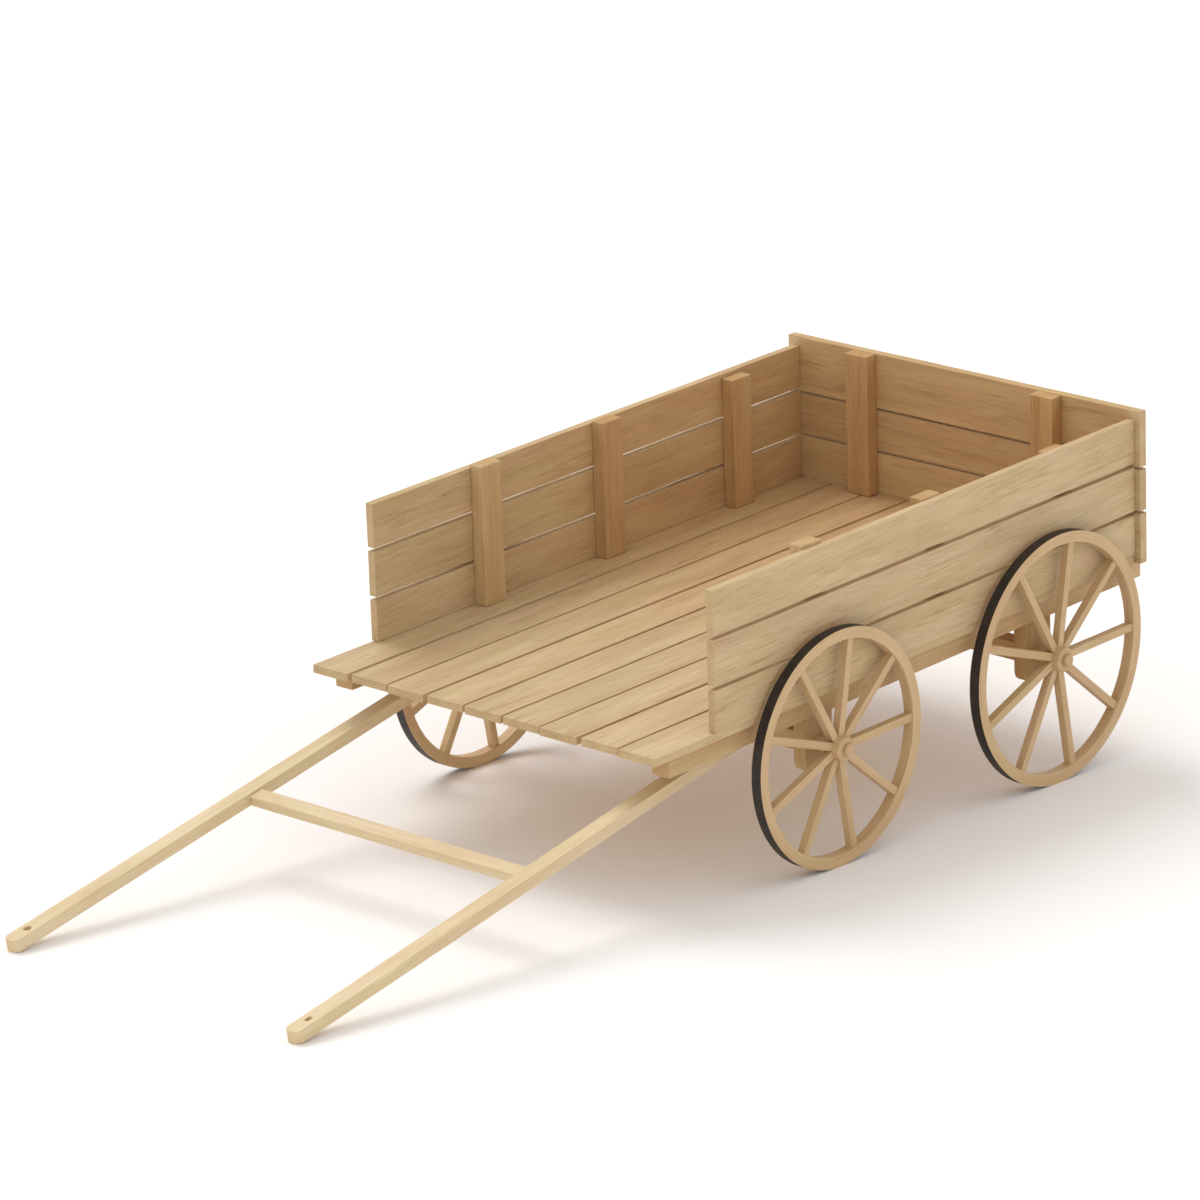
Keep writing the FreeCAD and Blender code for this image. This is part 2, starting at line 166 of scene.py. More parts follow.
def timber(centre, half, axes, order, rng, ease=1.5 * MM, wander=0.6 * MM, cell=12 * MM,
           shape=None, stations=None, across=None, end_skew=0.6 * MM, ripple=0.0, lean=0.0):
    """A sawn stick with eased arrises, squared ends and a slightly wandering section.

    At distance l along it the section is a rounded rectangle of half sizes w(l) and t(l), each
    side set back by its own drift; the ends close with a quarter-round of the same ease and a flat
    face.  The point is centre + w-part * axes[order[0]] + t-part * axes[order[1]] + l * axes[order[2]].
    shape(l, w, t), where given, returns the half sizes at l.  The last few millimetres at each end
    are set back by a skew of the saw and by a ripple across the width.  The fibres lean by lean
    across the width for each unit of length.  A board's narrow edges, and every end, are marked
    rough, as the saw left them.
    """
    w0, t0, l0 = (half[i] for i in order)
    zone = 4 * ease + 4 * ripple
    if stations is None:
        stations = np.linspace(ease - l0, l0 - ease, max(2, round(2 * l0 / cell)) + 1)
        if ripple:
            near_end = l0 - zone * np.array([0.3, 0.55, 0.8])
            stations = np.sort(np.concatenate([stations, near_end, -near_end]))
    if across is None:
        across = steps(max(2, round(2 * w0 / cell)), min(0.25, 1.2 * MM / w0))
    through = steps(max(1, round(2 * t0 / cell)), min(0.25, 1.2 * MM / t0))
    core_x, core_y, normal_x, normal_y, corner_wear = outline(across, through).T

    # One end, from its middle outwards: three rings of flat face, then the quarter round.
    quarter = np.radians([90, 67.5, 45, 22.5])
    flat_rings = np.array([0.0, 0.5, 0.9])
    rise = np.concatenate([np.zeros(3), ease * (1 - np.sin(quarter))])
    shown = np.concatenate([np.zeros(3), np.cos(quarter)])
    scale = np.concatenate([flat_rings, np.ones(4)])
    end = np.concatenate([np.ones(3), np.sin(quarter) ** 2])
    l = np.concatenate([rise - l0, stations, (l0 - rise)[::-1]])
    shown = np.concatenate([shown, np.ones(len(stations)), shown[::-1]])[:, None]
    scale = np.concatenate([scale, np.ones(len(stations)), scale[::-1]])[:, None]
    end = np.concatenate([end, np.zeros(len(stations)), end[::-1]])[:, None]

    if shape is None:
        w, t = np.full(len(l), w0), np.full(len(l), t0)
    else:
        w, t = shape(l, w0, t0)
    right, left = w - drift(l, rng, wander, 0.5), -w + drift(l, rng, wander, 0.5)
    top, bottom = t - drift(l, rng, wander / 2, 0.7), -t + drift(l, rng, wander / 2, 0.7)
    eased = ease * (1 + 0.5 * drift(l, rng, 1, 0.25)) / 1.25
    eased = np.minimum(eased, 0.45 * np.minimum(w, t))
    middle_x, middle_y = (right + left) / 2, (top + bottom) / 2
    half_x, half_y = (right - left) / 2 - eased, (top - bottom) / 2 - eased
    x = middle_x[:, None] + core_x * half_x[:, None] * scale + eased[:, None] * shown * normal_x
    y = middle_y[:, None] + core_y * half_y[:, None] * scale + eased[:, None] * shown * normal_y
    skews = rng.uniform(-1, 1, (2, 2)) * end_skew
    along = np.repeat(l[:, None], len(core_x), 1)
    for sign, (skew_x, skew_y) in zip((-1, 1), skews):
        near = np.clip((sign * along - l0 + zone) / zone, 0, 1)
        set_back = skew_x * core_x * scale + skew_y * core_y * scale * 0.5
        set_back = (set_back - abs(skew_x) - abs(skew_y) * 0.5) * 0.5
        wave = drift(core_x * scale * w0, rng, ripple, 26 * MM) * (0.75 + 0.25 * core_y * scale)
        along = along + sign * near * (set_back - wave)

    rows, columns = along.shape
    local = np.stack([x, y, along], -1).reshape(-1, 3)
    wear = np.maximum(corner_wear * shown, np.sin(math.pi * np.clip(end, 0, 1)) * (scale == 1))
    wear = np.broadcast_to(wear, along.shape)
    quads, tris = skin(rows, columns)

    # The pith lies 35 to 90 mm off one wide face, and the stick comes from anywhere up a long log.
    pith = (rng.uniform(-0.6, 0.6) * w0, rng.choice((-1, 1)) * rng.uniform(35, 90) * MM)
    slant = rng.uniform(-0.015, 0.015, 2) - (lean, 0)
    grain = np.stack([local[:, 0] - pith[0] + slant[0] * local[:, 2],
                      local[:, 1] - pith[1] + slant[1] * local[:, 2],
                      local[:, 2] + rng.uniform(*LOG_METRES)], -1)
    placed = np.asarray(centre) + local @ axes[list(order)]
    narrow = (np.abs(normal_x) > 0.9) & (t0 < 0.5 * w0)
    rough = np.maximum(np.broadcast_to(narrow, along.shape), end >= 1)
    return {"points": placed, "quads": quads, "tris": tris,
            "grain": grain, "end": np.repeat(end, columns, 1).ravel(), "wear": wear.ravel(),
            "rough": rough.ravel().astype(float)}


def turned(axis_start, direction, profile, rng, around=72, chuck=0.1 * MM):
    """A piece from the lathe: the profile (distance along the axis, radius) spun about the axis.

    Point = start + distance * direction + radius * (cos a, sin a) square to it; the profile runs
    from the axis out and back to the axis, so both ends close.  Its fibres run along the axis.
    """
    profile = np.asarray(profile, float)
    distance, radius = profile.T
    angle = 2 * math.pi * np.arange(around) / around
    out = radius[:, None] * (1 - chuck * drift(angle, rng, 1, 2)[None, :] / 0.03)
    x = direction * np.repeat(distance[:, None], around, 1)
    points = np.stack([x, out * np.cos(angle), out * np.sin(angle)], -1)
    quads, tris = skin(len(profile), around)
    local = points.reshape(-1, 3)
    pith = rng.uniform(-0.5, 0.5, 2) * radius.max() + np.array([0, 2.2 * radius.max()])
    grain = np.stack([local[:, 1] + pith[0], local[:, 2] + pith[1],
                      local[:, 0] + rng.uniform(*LOG_METRES)], -1)
    outwards, onwards = np.abs(np.gradient(radius)), np.abs(np.gradient(distance))
    steep = outwards / (outwards + onwards + 1e-9)
    return {"points": np.asarray(axis_start) + local, "quads": quads, "tris": tris, "grain": grain,
            "end": np.repeat(steep, around), "wear": np.zeros(len(local))}


def section(corners, eases, cell=4 * MM, arc=4):
    """A closed outline of square corners, as rows of (x, r, wear), with each corner a quarter round.

    A corner c between the unit directions u back and v on becomes
    c + e (u + v) - e (v cos a + u sin a), a from 0 to 90 degrees; the straight runs between have a
    point near both ends and then one about every cell.
    """
    corners = np.array(corners, float)
    rows = []
    for index, (corner, ease) in enumerate(zip(corners, eases)):
        following = (index + 1) % len(corners)
        back, on = corners[index - 1] - corner, corners[following] - corner
        back, on = back / np.linalg.norm(back), on / np.linalg.norm(on)
        turn = math.pi / 2 * np.arange(arc + 1)[:, None] / arc
        curve = corner + ease * (back + on) - ease * (on * np.cos(turn) + back * np.sin(turn))
        rows.append(np.column_stack([curve, np.sin(2 * turn)]))
        start, stop = corner + ease * on, corners[following] - eases[following] * on
        run = np.linalg.norm(stop - start)
        inset = min(1.0 * MM, 0.2 * run)
        places = np.linspace(inset, run - inset, max(1, round(run / cell)) + 1)[:, None]
        rows.append(np.column_stack([start + places * on, np.zeros(len(places))]))
    return np.concatenate(rows)


def hoop(centre, outline_rows, rng, around=240, wander=0.3 * MM):
    """A bent hoop: an outline in (x, r) carried round a circle about X.

    Point = centre + x and r * (cos a, sin a) in Y and Z, with the hoop's width and its inner
    radius wandering a little round the circle.  The fibres follow the circle, so the grain's
    length is a * the mean radius; the two ends of that length meet at one scarf.
    """
    outline_x, outline_r, corner_wear = outline_rows.T
    x_middle, half_x = (outline_x.min() + outline_x.max()) / 2, np.ptp(outline_x) / 2
    inner, outer = outline_r.min(), outline_r.max()
    angle = 2 * math.pi * np.arange(around + 1) / around
    start = rng.uniform(0, 2 * math.pi)
    inside = wander * (1 + np.cos(3 * angle + start)) / 2
    side = wander * (1 + np.cos(2 * angle + 2 * start)) / 2
    x = x_middle + (outline_x - x_middle) * (1 - side[:, None] / 2 / half_x)
    r = outline_r + inside[:, None] * (outer - outline_r) / (outer - inner)
    turn = (angle + start)[:, None]
    points = np.stack([x, centre[1] + r * np.cos(turn), centre[2] + r * np.sin(turn)], -1)
    columns = len(outline_x)
    mean = (inner + outer) / 2
    grain = np.stack([r - mean + rng.uniform(60, 90) * MM, x - x_middle + rng.uniform(-20, 20) * MM,
                      np.repeat(angle[:, None] * mean, columns, 1) + rng.uniform(*LOG_METRES)], -1)
    return {"points": points[:-1].reshape(-1, 3), "quads": strip_faces(around + 1, columns),
            "tris": np.zeros((0, 3), int), "grain": grain.reshape(-1, 3),
            "end": np.zeros((around + 1) * columns),
            "wear": np.tile(corner_wear, around + 1), "weld": around * columns}


def seeded(name):
    """The same random numbers for a part on every run, from its name."""
    return np.random.default_rng(zlib.crc32(name.encode()))


BED_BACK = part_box("left_side_lower_board")[1][1]
INSIDE_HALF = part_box("left_side_lower_board")[0][0]
PAINTED_SHADE_LENGTH = 1.25       # metres ahead of the tailboard where the painted shade begins
PAINTED_SHADE_RISE = 0.75         # metres over which the painted shade becomes full
SURFACE_SLACK = 0.5 * MM


def painted_bed_shade(points):
    """How much painted shade each point takes: 0 outside, 1 well inside the bed's boards.

    It stands in for the shade inside the bed and the light the boards hand to and fro.  Between the
    side boards' inner faces and ahead of the tailboard it rises along the bed as 3 s^2 - 2 s^3, with s
    from 0 where the painted shade begins to 1 where it is full.
    """
    x, y = np.abs(points[:, 0]), points[:, 1]
    inside = (x < INSIDE_HALF + SURFACE_SLACK) & (y < BED_BACK + SURFACE_SLACK)
    s = np.clip((y - BED_BACK + PAINTED_SHADE_LENGTH) / PAINTED_SHADE_RISE, 0, 1)
    return inside * s * s * (3 - 2 * s)


def piece(name, body, nodes, material, shapes, rng, lightness=0.03):
    """Joins shapes into one mesh, with faces outwards, and puts it on its CAD body.

    A hoop's last ring is its first again, with its own grain: weld is the number of real points,
    and faces take theirs modulo it.  A closed shape points outwards where the sum of its faces'
    signed volumes, a . (b x c) from its middle, is positive.
    """
    points, faces, corners, offset = [], [], [], 0
    tint = np.array([rng.normal(0, lightness), rng.normal(0, 1)])
    for shape in shapes:
        limit = shape.get("weld", 0)
        local = shape["points"] - (shape["points"].min(0) + shape["points"].max(0)) / 2
        rough = shape.get("rough", np.zeros(len(shape["end"])))
        for group in (shape["quads"], shape["tris"]):
            if not len(group):
                continue
            vertex = group % limit if limit else group
            a, b, c = (local[vertex[:, i]] for i in range(3))
            volume = np.einsum("ij,ij->i", a, np.cross(b, c)).sum()
            if group.shape[1] == 4:
                d = local[vertex[:, 3]]
                volume += np.einsum("ij,ij->i", a, np.cross(c, d)).sum()
                outward = volume > 0
            if not outward:
                group, vertex = group[:, ::-1], vertex[:, ::-1]
            faces += (vertex + offset).tolist()
            corner = group.ravel()
            corners.append(np.column_stack([shape["grain"][corner], shape["end"][corner],
                                            shape["wear"][corner], rough[corner]]))
        points.append(shape["points"])
        offset += len(shape["points"])
    corners = np.concatenate(corners)
    points = np.concatenate(points)
    mesh = bpy.data.meshes.new(name)
    mesh.from_pydata(points.tolist(), [], faces)
    # Painted shade: how much darker and warmer each corner is painted inside the bed, for the shade
    # there.
    shade = painted_bed_shade(points)[np.concatenate([np.ravel(face) for face in faces])]
    # grain is the place in the log; look is end grain, wear and the painted shade inside the bed;
    # tint is the piece's own lightness and warmth, then how rough the saw left the surface.
    values = {"grain": corners[:, :3],
              "look": np.column_stack([corners[:, 3], corners[:, 4], shade]),
              "tint": np.column_stack([np.tile(tint, (len(corners), 1)), corners[:, 5]])}
    for label, value in values.items():
        attribute = mesh.attributes.new(label, "FLOAT_VECTOR", "CORNER")
        attribute.data.foreach_set("vector", value.astype(np.float32).ravel())
    mesh.shade_smooth()
    mesh.materials.append(material)
    made = bpy.data.objects.new(name, mesh)
    bpy.context.scene.collection.objects.link(made)
    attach(made, body)
    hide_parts(*nodes)
    return made


# --- Materials ------------------------------------------------------------------------------------
def linear(code):
    """An sRGB hex colour as linear red, green, blue and alpha."""
    channels = [int(code[i:i + 2], 16) / 255 for i in (1, 3, 5)]
    return tuple(c / 12.92 if c <= 0.04045 else ((c + 0.055) / 1.055) ** 2.4 for c in channels) + (1.0,)


def add(tree, kind, inputs=None, stops=None, **settings):
    """Adds one node. An input is a plain value or a socket to link from; stops fill a ramp."""
    made = tree.nodes.new("ShaderNode" + kind)
    for key, value in settings.items():
        setattr(made, key, value)
    for key, value in (inputs or {}).items():
        if isinstance(value, bpy.types.NodeSocket):
            tree.links.new(value, made.inputs[key])
        else:
            made.inputs[key].default_value = value
    if stops:
        elements = made.color_ramp.elements
        while len(elements) < len(stops):
            elements.new(0.5)
        for element, (position, grey) in zip(elements, stops):
            element.position = position
            element.color = (grey, grey, grey, 1)
    return made


def new_material(name):
    """An empty node material and its tree, ending in a Principled shader."""
    material = bpy.data.materials.new(name)
    material.use_nodes = True
    tree = material.node_tree
    tree.nodes.clear()
    shader = add(tree, "BsdfPrincipled")
    add(tree, "OutputMaterial", {"Surface": shader.outputs[0]})
    return material, tree, shader


def fibre_noise(tree, grain, width, length, detail=2.0, roughness=0.5):
    """Noise drawn out along the fibres: marks about width by length, in millimetres."""
    scaled = add(tree, "VectorMath", {0: grain, 1: (1000 / width, 1000 / width, 1000 / length)},
                 operation="MULTIPLY").outputs[0]
    return add(tree, "TexNoise", {"Vector": scaled, "Scale": 1.0, "Detail": detail,
                                  "Roughness": roughness}).outputs[0]


def remap(tree, value, low, high, to_low=0.0, to_high=1.0):
    """Stretches a value from one range to another and holds it there."""
    return add(tree, "MapRange", {0: value, 1: low, 2: high, 3: to_low, 4: to_high}).outputs[0]


def blend(tree, share, first, second, blend_type="MIX"):
    """Mixes two colours; each is a socket or a linear colour."""
    return add(tree, "Mix", {0: share, 6: first, 7: second}, data_type="RGBA",
               blend_type=blend_type).outputs[2]


def wood(name, pale, deep, streak, rough, fleck, ring=0.25, lines=0.3, saw_marks=0.0):
    """Bare wood, solid right through, from the grain attribute (two axes across, one along it).

    Growth rings are steps of the distance from the pith, bent by slow noise.  Cloudy patches,
    flecks that come in flocks, straight fine lines and pores are noises drawn out along the fibres.
    pale, deep and streak are hex colours and rough the roughness; fleck, ring, lines and saw_marks
    say how strongly each of those shows.
    """
    material, tree, shader = new_material(name)
    grain = add(tree, "Attribute", attribute_name="grain").outputs["Vector"]
    look = add(tree, "Attribute", attribute_name="look").outputs["Vector"]
    tint = add(tree, "Attribute", attribute_name="tint").outputs["Vector"]
    look_parts = add(tree, "SeparateXYZ", {0: look})
    end, wear, shade = look_parts.outputs[0], look_parts.outputs[1], look_parts.outputs[2]
    tint_parts = add(tree, "SeparateXYZ", {0: tint})
    lightness, warmth, sawn = tint_parts.outputs[0], tint_parts.outputs[1], tint_parts.outputs[2]

    # Slow noise bends the grain by a few millimetres over a quarter of a metre.
    bend = fibre_noise(tree, grain, 40, 260)
    sideways = add(tree, "Math", {0: bend, 1: -0.5}, operation="ADD").outputs[0]
    offset = add(tree, "CombineXYZ", {0: sideways, 1: sideways}).outputs[0]
    bent = add(tree, "VectorMath", {0: offset, 1: (0.014, 0.014, 0.0), 2: grain},
               operation="MULTIPLY_ADD").outputs[0]
    flat = add(tree, "VectorMath", {0: bent, 1: (1, 1, 0)}, operation="MULTIPLY").outputs[0]
    distance = add(tree, "VectorMath", {0: flat}, operation="LENGTH").outputs["Value"]
    count = add(tree, "Math", {0: distance, 1: 1000 / RING_MM}, operation="MULTIPLY").outputs[0]
    phase = add(tree, "Math", {0: count}, operation="FRACT").outputs[0]
    late = add(tree, "ValToRGB", {0: phase}, stops=((0.0, 0.0), (0.45, 0.12), (0.85, 1.0),
                                                    (0.93, 0.75), (1.0, 0.0))).outputs[0]

    patches = fibre_noise(tree, grain, 48, 330, 3.0)
    flocks = fibre_noise(tree, grain, 34, 240)
    streaks = fibre_noise(tree, bent, 6.5, 95, 3.0, 0.62)
    fine = fibre_noise(tree, bent, 2.2, 170)
    pores = fibre_noise(tree, grain, 0.9, 22)

    # Tone: pale wood, deeper in slow patches, in latewood, in flocks of flecks and fine lines.
    patch_share = remap(tree, patches, 0.32, 0.68, 0.0, 0.75)
    share = add(tree, "Math", {0: late, 1: ring, 2: patch_share}, operation="MULTIPLY_ADD",
                use_clamp=True).outputs[0]
    colour = blend(tree, share, linear(pale), linear(deep))
    flock_share = remap(tree, flocks, 0.42, 0.66, 0.15 * fleck, fleck)
    spots = remap(tree, streaks, 0.50, 0.68)
    mark = add(tree, "Math", {0: spots, 1: flock_share}, operation="MULTIPLY").outputs[0]
    colour = blend(tree, mark, colour, linear(streak))
    colour = blend(tree, remap(tree, fine, 0.48, 0.74, 0.0, lines), colour, linear(streak))
    colour = blend(tree, remap(tree, pores, 0.55, 0.75, 0.0, 0.14), colour, linear(streak))
    # Arrises handled smooth are a little paler; end grain drinks the light and is darker.
    worn = add(tree, "Math", {0: wear, 1: 0.12}, operation="MULTIPLY").outputs[0]
    colour = blend(tree, worn, colour, linear(pale))
    ended = add(tree, "Math", {0: end, 1: 0.30}, operation="MULTIPLY").outputs[0]
    colour = blend(tree, ended, colour, linear(deep))
    # Painted shade: inside the bed the colour is multiplied deeper and warmer, standing in for the shade
    # and the light the boards hand to and fro.
    colour = blend(tree, shade, colour, PAINTED_SHADE_TINT, "MULTIPLY")
    # Heartwood runs pinker and sapwood yellower within a board; each has its own lightness too.
    heart = remap(tree, fibre_noise(tree, grain, 38, 280, 1.0), 0.3, 0.7, -0.006, 0.006)
    hue = add(tree, "Math", {0: warmth, 1: 0.0012, 2: heart}, operation="MULTIPLY_ADD").outputs[0]
    hue = add(tree, "Math", {0: hue, 1: 0.5}, operation="ADD").outputs[0]
    value = add(tree, "Math", {0: lightness, 1: 1.0}, operation="ADD").outputs[0]
    colour = add(tree, "HueSaturation", {"Hue": hue, "Value": value, "Color": colour}).outputs[0]
    tree.links.new(colour, shader.inputs["Base Color"])

    planed = remap(tree, streaks, 0.3, 0.7, rough - 0.06, rough + 0.08)
    fuzzy = add(tree, "Mix", {0: sawn, 2: planed, 3: 0.9}).outputs[0]
    tree.links.new(fuzzy, shader.inputs["Roughness"])
    shader.inputs["Specular IOR Level"].default_value = 0.25
    relief = add(tree, "Math", {0: spots, 1: 0.5, 2: pores}, operation="MULTIPLY_ADD").outputs[0]
    if saw_marks:
        length = add(tree, "SeparateXYZ", {0: grain}).outputs[2]
        kerf = add(tree, "Math", {0: length, 1: 2 * math.pi * 1000 / KERF_MM},
                   operation="MULTIPLY").outputs[0]
        kerf = add(tree, "Math", {0: kerf}, operation="SINE").outputs[0]
        relief = add(tree, "Math", {0: kerf, 1: -saw_marks, 2: relief},
                     operation="MULTIPLY_ADD").outputs[0]
    bump = add(tree, "Bump", {"Height": relief, "Distance": 0.25 * MM, "Strength": 0.6}, invert=True)
    tree.links.new(bump.outputs[0], shader.inputs["Normal"])
    shader.inputs["IOR"].default_value = 1.5
    return material


RING_MM = 5.0    # one year's growth
KERF_MM = 3.2    # one stroke of the saw
PAINTED_SHADE_TINT = (0.97, 0.865, 0.745, 1.0)    # how much deeper and warmer the painted shade inside the bed makes the wood, in linear light

# Planed deal: pale yellow-beige boards with flocks of soft brown flecks, satin from the plane.
PLANED_BOARDS = wood("planed_deal", "#D2B891", "#BEA279", "#917043", 0.48, 0.48)
# Sawn deal: the same wood off the saw, slightly duller and straighter, with faint kerf lines.
SAWN_TIMBER = wood("sawn_deal", "#CEB186", "#BA986B", "#957147", 0.55, 0.30, lines=0.42,
                   saw_marks=0.35)
# Planed spruce: the palest, close-grained, nearly white on the shafts.
PLANED_SPRUCE = wood("planed_spruce", "#E1CDA9", "#D1B98F", "#A98557", 0.48, 0.25)
# Turned and bent ash: even, beige, with open fine pores.
TURNED_ASH = wood("turned_ash", "#D3B68D", "#C3A177", "#9E7A50", 0.48, 0.25)


def iron(name):
    """Hand-forged iron in matt black paint: a cloudy near-black, dented, rubbed brown on edges."""
    material, tree, shader = new_material(name)
    grain = add(tree, "Attribute", attribute_name="grain").outputs["Vector"]
    look = add(tree, "SeparateXYZ", {0: add(tree, "Attribute", attribute_name="look").outputs["Vector"]})
    clouds = add(tree, "TexNoise", {"Vector": grain, "Scale": 40.0, "Detail": 4.0}).outputs[0]
    dents = add(tree, "TexNoise", {"Vector": grain, "Scale": 110.0, "Detail": 2.0}).outputs[0]
    grit = add(tree, "TexNoise", {"Vector": grain, "Scale": 900.0, "Detail": 2.0}).outputs[0]
    colour = blend(tree, remap(tree, clouds, 0.35, 0.65), linear("#1D1613"), linear("#2E241E"))
    rubbed = add(tree, "Math", {0: look.outputs[1], 1: clouds}, operation="MULTIPLY").outputs[0]
    colour = blend(tree, remap(tree, rubbed, 0.3, 0.6, 0.0, 0.7), colour, linear("#4E4037"))
    tree.links.new(colour, shader.inputs["Base Color"])
    tree.links.new(remap(tree, grit, 0.3, 0.7, 0.48, 0.66), shader.inputs["Roughness"])
    relief = add(tree, "Math", {0: grit, 1: 0.15, 2: dents}, operation="MULTIPLY_ADD").outputs[0]
    bump = add(tree, "Bump", {"Height": relief, "Distance": 0.5 * MM, "Strength": 0.5})
    tree.links.new(bump.outputs[0], shader.inputs["Normal"])
    shader.inputs["IOR"].default_value = 1.5
    return material


def steel(name):
    """Bright mild steel, drawn: grey metal with fine lines round it and a slight oil bloom."""
    material, tree, shader = new_material(name)
    place = add(tree, "TexCoord").outputs["Object"]
    drawn = add(tree, "VectorMath", {0: place, 1: (2500, 300, 300)}, operation="MULTIPLY")
    lines = add(tree, "TexNoise", {"Vector": drawn.outputs[0], "Scale": 1.0, "Detail": 3.0}).outputs[0]
    bloom = add(tree, "TexNoise", {"Vector": place, "Scale": 60.0, "Detail": 3.0}).outputs[0]
    colour = blend(tree, bloom, linear("#8F8D89"), linear("#A5A29C"))
    tree.links.new(colour, shader.inputs["Base Color"])
    tree.links.new(remap(tree, lines, 0.3, 0.7, 0.28, 0.45), shader.inputs["Roughness"])
    bump = add(tree, "Bump", {"Height": lines, "Distance": 0.03 * MM, "Strength": 0.4})
    tree.links.new(bump.outputs[0], shader.inputs["Normal"])
    shader.inputs["Metallic"].default_value = 1.0
    return material


IRON_TYRE = iron("black_painted_iron")
PLAIN_STEEL = steel("drawn_steel")


# --- Bed: floor, sides, tailboard, posts and the underframe ---------------------------------------
ACROSS, ALONG, UP = 0, 1, 2     # rows of a part's axes; an order names them as width, depth, length
BED_AXES = tipped_axes(BED_SLOPE)


def bed_stick(node, order, material, slot, **work):
    """Replaces one straight CAD timber of the bed with a worked one of the same size."""
    rng = seeded(node)
    centre, half = tipped_block(node, BED_SLOPE)
    shape = timber(centre, half, BED_AXES, order, rng, **work)
    piece(node + "_wood", "chassis", [node], material, [shape], rng)


for number in range(1, 10):
    bed_stick("floor_board_%d" % number, (ACROSS, UP, ALONG), PLANED_BOARDS, "planed_boards",
              ease=1.2 * MM, wander=0.5 * MM, ripple=2.4 * MM, cell=8 * MM)
for row in ("lower", "middle", "upper"):
    for side in SIDES:
        bed_stick("%s_side_%s_board" % (side, row), (UP, ACROSS, ALONG), PLANED_BOARDS,
                  "planed_boards", ease=1.1 * MM, wander=0.5 * MM, lean=0.025)
    bed_stick("tail_%s_board" % row, (UP, ALONG, ACROSS), PLANED_BOARDS, "planed_boards",
              ease=1.1 * MM, wander=0.5 * MM)
for side in SIDES:
    for place in ("front", "middle", "rear"):
        bed_stick("%s_side_%s_post" % (side, place), (ALONG, ACROSS, UP), SAWN_TIMBER,
                  "sawn_timber", ease=2.0 * MM, wander=0.7 * MM)
    bed_stick("tail_%s_post" % side, (ACROSS, ALONG, UP), SAWN_TIMBER, "sawn_timber",
              ease=2.0 * MM, wander=0.7 * MM)
    bed_stick("%s_sill" % side, (ACROSS, UP, ALONG), SAWN_TIMBER, "sawn_timber",
              ease=2.2 * MM, wander=1.0 * MM)
for end in ENDS:
    bed_stick(end + "_axle_beam", (ALONG, UP, ACROSS), SAWN_TIMBER, "sawn_timber",
              ease=2.0 * MM, wander=0.8 * MM)


def round_foot(radius):
    """Half width of a block whose lower corners are quarter circles of that radius."""
    def shape(l, w, t):
        depth = np.clip(l - l[0], 0, radius)
        curve = np.sqrt(np.maximum(radius ** 2 - (radius - depth) ** 2, 0))
        return w - radius + curve, np.full(len(l), t)
    return shape


HANGER_CORNER, HANGER_EASE = 25 * MM, 1.5 * MM
for end in ENDS:
    for side in SIDES:
        node = "%s_%s_axle_hanger" % (end, side)
        rng = seeded(node)
        centre, half = tipped_block(node, BED_SLOPE)
        foot = HANGER_CORNER * (1 - np.cos(np.radians(np.arange(15, 91, 7.5))))
        straight = np.linspace(-half[UP] + HANGER_CORNER + 6 * MM, half[UP] - HANGER_EASE, 14)
        shape = timber(centre, half, BED_AXES, (ALONG, ACROSS, UP), rng, ease=HANGER_EASE,
                       shape=round_foot(HANGER_CORNER),
                       stations=np.concatenate([foot - half[UP] + HANGER_EASE, straight]),
                       end_skew=0.0)
        piece(node + "_wood", "chassis", [node], SAWN_TIMBER, [shape], rng)

BEARER_STATIONS = (130 * MM, 660 * MM, 960 * MM, 1260 * MM, 1590 * MM)  # from the floor's front
BEARER_WIDTH, BEARER_DEPTH, BEARER_TONGUE = 45 * MM, 40 * MM, 8 * MM
BEARER_SHOULDER = 380 * MM


def bearers():
    """Cross timbers under the floor whose ends are cut thin where the shafts pass beneath."""
    rng = seeded("floor_bearers")
    centre, half = tipped_block("floor_board_1", BED_SLOPE)
    front = centre - BED_AXES[ALONG] * half[ALONG] - BED_AXES[UP] * half[UP]
    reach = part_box("floor_bearers")[1][0]
    shapes = []
    for station in BEARER_STATIONS:
        middle = front + BED_AXES[ALONG] * station
        middle[0] = 0
        tongue = middle - BED_AXES[UP] * BEARER_TONGUE / 2
        shapes.append(timber(tongue, (reach, BEARER_WIDTH / 2, BEARER_TONGUE / 2), BED_AXES,
                             (ALONG, UP, ACROSS), rng, ease=1.0 * MM, wander=0.3 * MM, cell=15 * MM))
        body = middle - BED_AXES[UP] * BEARER_DEPTH / 2
        shapes.append(timber(body, (BEARER_SHOULDER, BEARER_WIDTH / 2, BEARER_DEPTH / 2), BED_AXES,
                             (ALONG, UP, ACROSS), rng, ease=1.6 * MM, wander=0.6 * MM, cell=15 * MM))
    piece("floor_bearers_wood", "chassis", ["floor_bearers"], SAWN_TIMBER, shapes, rng)


bearers()


# --- Wheels and what holds them -------------------------------------------------------------------
def arc(centre_distance, centre_radius, radius, start, stop, count=5):
    """Points of a circular arc in (distance, radius), angles in degrees from straight along."""
    turn = np.radians(np.linspace(start, stop, count))
    return np.stack([centre_distance + radius * np.cos(turn), centre_radius + radius * np.sin(turn)], -1)


NAVE_CHAMFER = 3 * MM


def nave_profile(length, radius):
    """Outline of the hub: a flat face and a chamfered rim at each end of a plain barrel."""
    chamfer = NAVE_CHAMFER
    rim = np.array([(0, 0), (0, radius * 0.3), (0, radius * 0.62), (0, radius - chamfer - 0.8 * MM),
                    (0.1 * MM, radius - chamfer), (chamfer - 0.3 * MM, radius - 0.3 * MM),
                    (chamfer + 0.4 * MM, radius)])
    back = rim[::-1].copy()
    back[:, 0] = length - back[:, 0]
    places = np.linspace(chamfer + 2 * MM, length - chamfer - 2 * MM, 9)
    barrel = np.stack([places, np.full(9, radius)], -1)
    return np.concatenate([rim, barrel, back])


